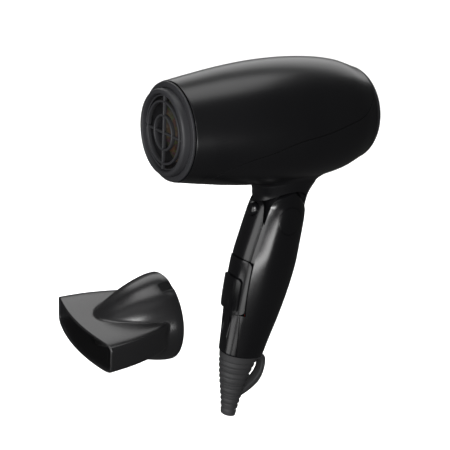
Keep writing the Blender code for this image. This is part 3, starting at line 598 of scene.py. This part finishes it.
def bush_skin(u, v):
    row = round(v * 92) - 1
    s = 83 if row <= 0 else (88.4 if row <= 4 else 88.4 + 41.6 * (min(row, 90) - 4) / 86)
    angle = 2 * pi * u
    if row <= 2:
        x, y = rounded(angle, 11.2, 8.3, 2.1)
        return Vector((-0.2, 0, -83)) if row < 0 else Vector((x - 0.2, y, -83 if row == 0 else -88.4))
    centre, half_x, half_y = through([(88.4, -0.6, 13.2, 10.4), (97, -1.0, 11.2, 9.0), (108, -0.4, 8.6, 7.4),
                                      (120, 1.2, 6.2, 5.8), (130, 2.4, 4.6, 4.6)], s)
    if row > 90:
        return Vector((centre, 0, -130))
    off_middle = ((s - FIRST_GROOVE) / GROOVE_PITCH) % 1.0 - 0.5
    cut = 0.0
    if FIRST_GROOVE < s < LAST_GROOVE and abs(off_middle) < GROOVE_HALF:
        cut = GROOVE_DEPTH * max(0.0, 1 - (off_middle / GROOVE_HALF) ** 2) ** 0.5
    x, y = rounded(angle, half_x - cut, half_y - cut, 2.1)
    return Vector((centre + x, y, -s))


loop_outer = [(7, 89), (14.4, 88.8), (18.2, 91), (19.8, 96), (19.7, 103), (17.4, 108.6), (12.6, 113.4),
              (7.2, 117), (2, 119.5)]
loop_inner = [(2, 115.5), (6.6, 112.2), (11.2, 109), (14.6, 105.4), (16.6, 101), (16.7, 96.6), (15.4, 93.4),
              (11.4, 92.6), (7, 92.8)]
loop_line = []
for side_points in (loop_outer, loop_inner):
    marked = [(i, x, -s) for i, (x, s) in enumerate(side_points)]
    loop_line += [tuple(through(marked, k / 5)) for k in range(5 * (len(marked) - 1) + 1)]
bush = skin("cord_bush_looks", 112, 92, bush_skin)
boolean(bush, 'DIFFERENCE', rod("cord_bore", (-0.6, 0, -70), (2.9, 0, -134), 2.6))
loop = round_edges(plate("hanging_loop", loop_line, -3.2, 3.2), 0.9, angle=60, segments=3)
merge(bush, loop)
finish(bush, HANDLE, "handle", rubber, "bush_rubber", "cord_bush", angle=40)

# ---------------------------------------------------------------- concentrator nozzle
# Semi-gloss dark moulding, 1.5 mm thick: a round collar tapers to a ridge that runs out on a flat
# fishtail, with a hollow where the two meet, a bowed mouth and a notch in the collar's edge.
NOZZLE_WALL = 1.5
NOZZLE_BACK, NOZZLE_END = 0.7, 51.9
MOUTH_HALF_HEIGHT = 8.4
CORNER_POWER = 9
MOUTH_BOW = 248  # twice the radius that the mouth is bowed to


def blended_max(a, b, soft):
    """The larger of two values, with a hollow fillet where they are nearly equal."""
    h = max(soft - abs(a - b), 0) / soft
    return max(a, b) + h * h * soft / 4


def fine_angle(u):
    """Angles around the nozzle, closer together near the fishtail's four corners."""
    turn, quarter = (u * 4) % 1, int(u * 4 + 1e-9) % 4
    if quarter % 2:
        turn = 1 - turn
    if turn < 0.08:
        bend = 100 * turn
    elif turn < 0.62:
        bend = 8 + 16 * (turn - 0.08) / 0.54
    else:
        bend = 24 + 66 * (turn - 0.62) / 0.38
    return radians((bend, 180 - bend, 180 + bend, 360 - bend)[quarter])


def nozzle_radius(angle, d, wall=0.0):
    """Outer radius at a distance from the collar's back, or the inner one when a wall is given."""
    cone = through([(0, 25.0), (5, 24.6), (12, 22.9), (20, 20.2), (28, 16.6), (36, 12.4), (41, 8.6),
                    (44, 5.0), (56, 3.0)], d)
    half = through([(0, 14), (5, 19.6), (8, 22.4), (11, 24.4), (16, 27.0), (24, 29.6), (34, 31.8), (44, 32.8),
                    (56, 33.4)], d)
    c, s = abs(cos(angle)), abs(sin(angle))
    flat = ((c / (half - wall)) ** CORNER_POWER
            + (s / (MOUTH_HALF_HEIGHT - wall)) ** CORNER_POWER) ** (-1 / CORNER_POWER)
    return blended_max(max(cone - wall, 1.0), flat, 0.8 + 1.2 * min(1, max(0, (d - 10) / 30)))


def nozzle_skin(u, v):
    """Out along the outside, around the mouth's lip, back inside and around the collar's lip."""
    row = round(v * 240)
    lip, drop = 0.0, 0.0
    if row <= 116:
        far = row / 116
    elif row < 124:
        far, turn = 1.0, (row - 116) / 8 * pi
        lip, drop = 0.7 * sin(turn), NOZZLE_WALL / 2 * (1 - cos(turn))
    elif row <= 232:
        far, drop = 1 - (row - 124) / 108, NOZZLE_WALL
    else:
        far, turn = 0.0, (row - 232) / 8 * pi
        lip, drop = -0.7 * sin(turn), NOZZLE_WALL / 2 * (1 + cos(turn))
    angle = fine_angle(u)
    end = NOZZLE_END
    for _ in range(4):  # the bow depends on the width, and the width on the bow
        y = nozzle_radius(angle, end) * cos(angle)
        end = NOZZLE_END - y * y / MOUTH_BOW
    d = NOZZLE_BACK + (end - NOZZLE_BACK) * far
    radius = nozzle_radius(angle, d, drop)
    return Vector((-d - lip, radius * cos(angle), radius * sin(angle)))


nozzle = skin("concentrator_looks", 360, 240, nozzle_skin)
notch = bar("collar_notch", (-8.5, -3.4, 24.0), (4, 3.4, 35), 1.0)
notch.data.transform(Matrix.Rotation(radians(22), 4, 'X'))
boolean(nozzle, 'DIFFERENCE', notch)
finish(nozzle, NOZZLE, "nozzle", nozzle_dark, "nozzle_dark", "concentrator", angle=40)

# ---------------------------------------------------------------- inner parts shown as they are
# The frame's own solids, seen through the grilles or inside the handle, with their materials.
inner_looks = {
    "mica_board_upright": mica, "mica_board_level": mica, "thermostat": brass, "thermal_fuse": steel,
    "motor": steel, "motor_mount": matte_dark, "motor_screw_left": steel, "motor_screw_right": steel,
    "lead_live": insulation, "lead_neutral": insulation, "impeller": matte_dark, "motor_shaft": steel,
    "switch_body": matte_dark, "cool_switch": matte_dark, "circuit_board": board_green,
    "rectifier": matte_dark, "capacitor": brass, "supply_lead": insulation, "switch_lead": insulation,
    "cord_clamp": matte_dark, "clamp_screw_left": steel, "clamp_screw_right": steel,
    "handle_screw_upper": steel, "handle_screw_lower": steel, "pivot_tube": steel,
    "spring_washer": steel}
for node, look in inner_looks.items():
    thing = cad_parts[node]
    thing.data.materials.clear()
    thing.data.materials.append(look)
    select_only(thing)
    bpy.ops.object.shade_smooth_by_angle(angle=radians(32))

# ---------------------------------------------------------------- floor
# Plain pale ground well below the dryer.  It keeps out of the gloss and throws no light back, so
# that the black shells mirror the soft boxes only.
bpy.ops.object.select_all(action='DESELECT')
bpy.ops.mesh.primitive_plane_add(size=60, location=(0, 0, -0.16))
floor = bpy.context.object
floor.name = floor.data.name = "floor"
floor.data.materials.append(plastic("pale_floor", (0.86, 0.86, 0.86), (0.88, 0.88, 0.88), 0.8, 0.9, 60, 0.0))
floor.visible_glossy = False
floor.visible_diffuse = False

# ---------------------------------------------------------------- light
# A faint surround, a broad box behind and above the barrel, one overhead, one to the left, one low in
# front, two that draw the soft line down the handle, a small one above the front, and an even wash
# that falls on the floor alone.
world = bpy.data.worlds.new("studio")
world.use_nodes = True
world.node_tree.nodes["Background"].inputs["Color"].default_value = (1, 1, 1, 1)
world.node_tree.nodes["Background"].inputs["Strength"].default_value = 0.06
bpy.context.scene.world = world
bpy.context.scene.view_settings.view_transform = 'Standard'


def softbox(name, at, aim, width, height, power):
    """Rectangular lamp at a place, facing another, in metres and watts."""
    lamp = bpy.data.lights.new(name, 'AREA')
    lamp.shape = 'RECTANGLE'
    lamp.size, lamp.size_y, lamp.energy = width, height, power
    holder = bpy.data.objects.new(name, lamp)
    bpy.context.scene.collection.objects.link(holder)
    holder.visible_camera = False
    away = (Vector(at) - Vector(aim)).to_track_quat('Z', 'Y').to_matrix().to_4x4()
    holder.matrix_world = Matrix.Translation(at) @ away


softbox("back_top", (0.45, 0.60, 0.55), (0, 0, 0.08), 1.2, 0.5, 3.2)
softbox("over", (0.05, 0.1, 0.95), (0, 0, 0.08), 0.8, 0.5, 4.2)
softbox("left_fill", (-0.85, 0.0, 0.02), (0, 0, 0), 0.45, 0.9, 3.5)
softbox("front_low", (-0.35, -0.75, -0.08), (-0.05, 0, 0.05), 0.7, 0.14, 3.5)
softbox("front_fill", (-0.55, -0.55, 0.35), (-0.05, 0, 0.05), 0.4, 0.2, 4.8)
softbox("front_tall", (-0.66, -0.44, 0.05), (-0.05, 0, -0.02), 0.3, 0.9, 2.4)
softbox("front_top", (-0.35, -0.35, 0.8), (0, 0, 0.08), 0.5, 0.3, 0.3)
ground = bpy.data.collections.new("ground")
ground.objects.link(floor)
wash = bpy.data.objects.new("floor_wash", bpy.data.lights.new("floor_wash", 'SUN'))
wash.data.energy = 3.9
wash.data.angle = radians(50)
bpy.context.scene.collection.objects.link(wash)
wash.light_linking.receiver_collection = ground

# ---------------------------------------------------------------- camera
AZIMUTH, ELEVATION, ROLL = radians(34.35), radians(20.2), radians(3.04)
camera_data = bpy.data.cameras.new("camera")
camera_data.lens = 72
camera_data.sensor_width = 36
camera_data.clip_end = 20
camera = bpy.data.objects.new("camera", camera_data)
bpy.context.scene.collection.objects.link(camera)
camera.matrix_world = (Matrix.Translation((-0.2959, -0.3955, 0.2187)) @ Matrix.Rotation(-AZIMUTH, 4, 'Z')
                       @ Matrix.Rotation(pi / 2 - ELEVATION, 4, 'X') @ Matrix.Rotation(ROLL, 4, 'Z'))
bpy.context.scene.camera = camera
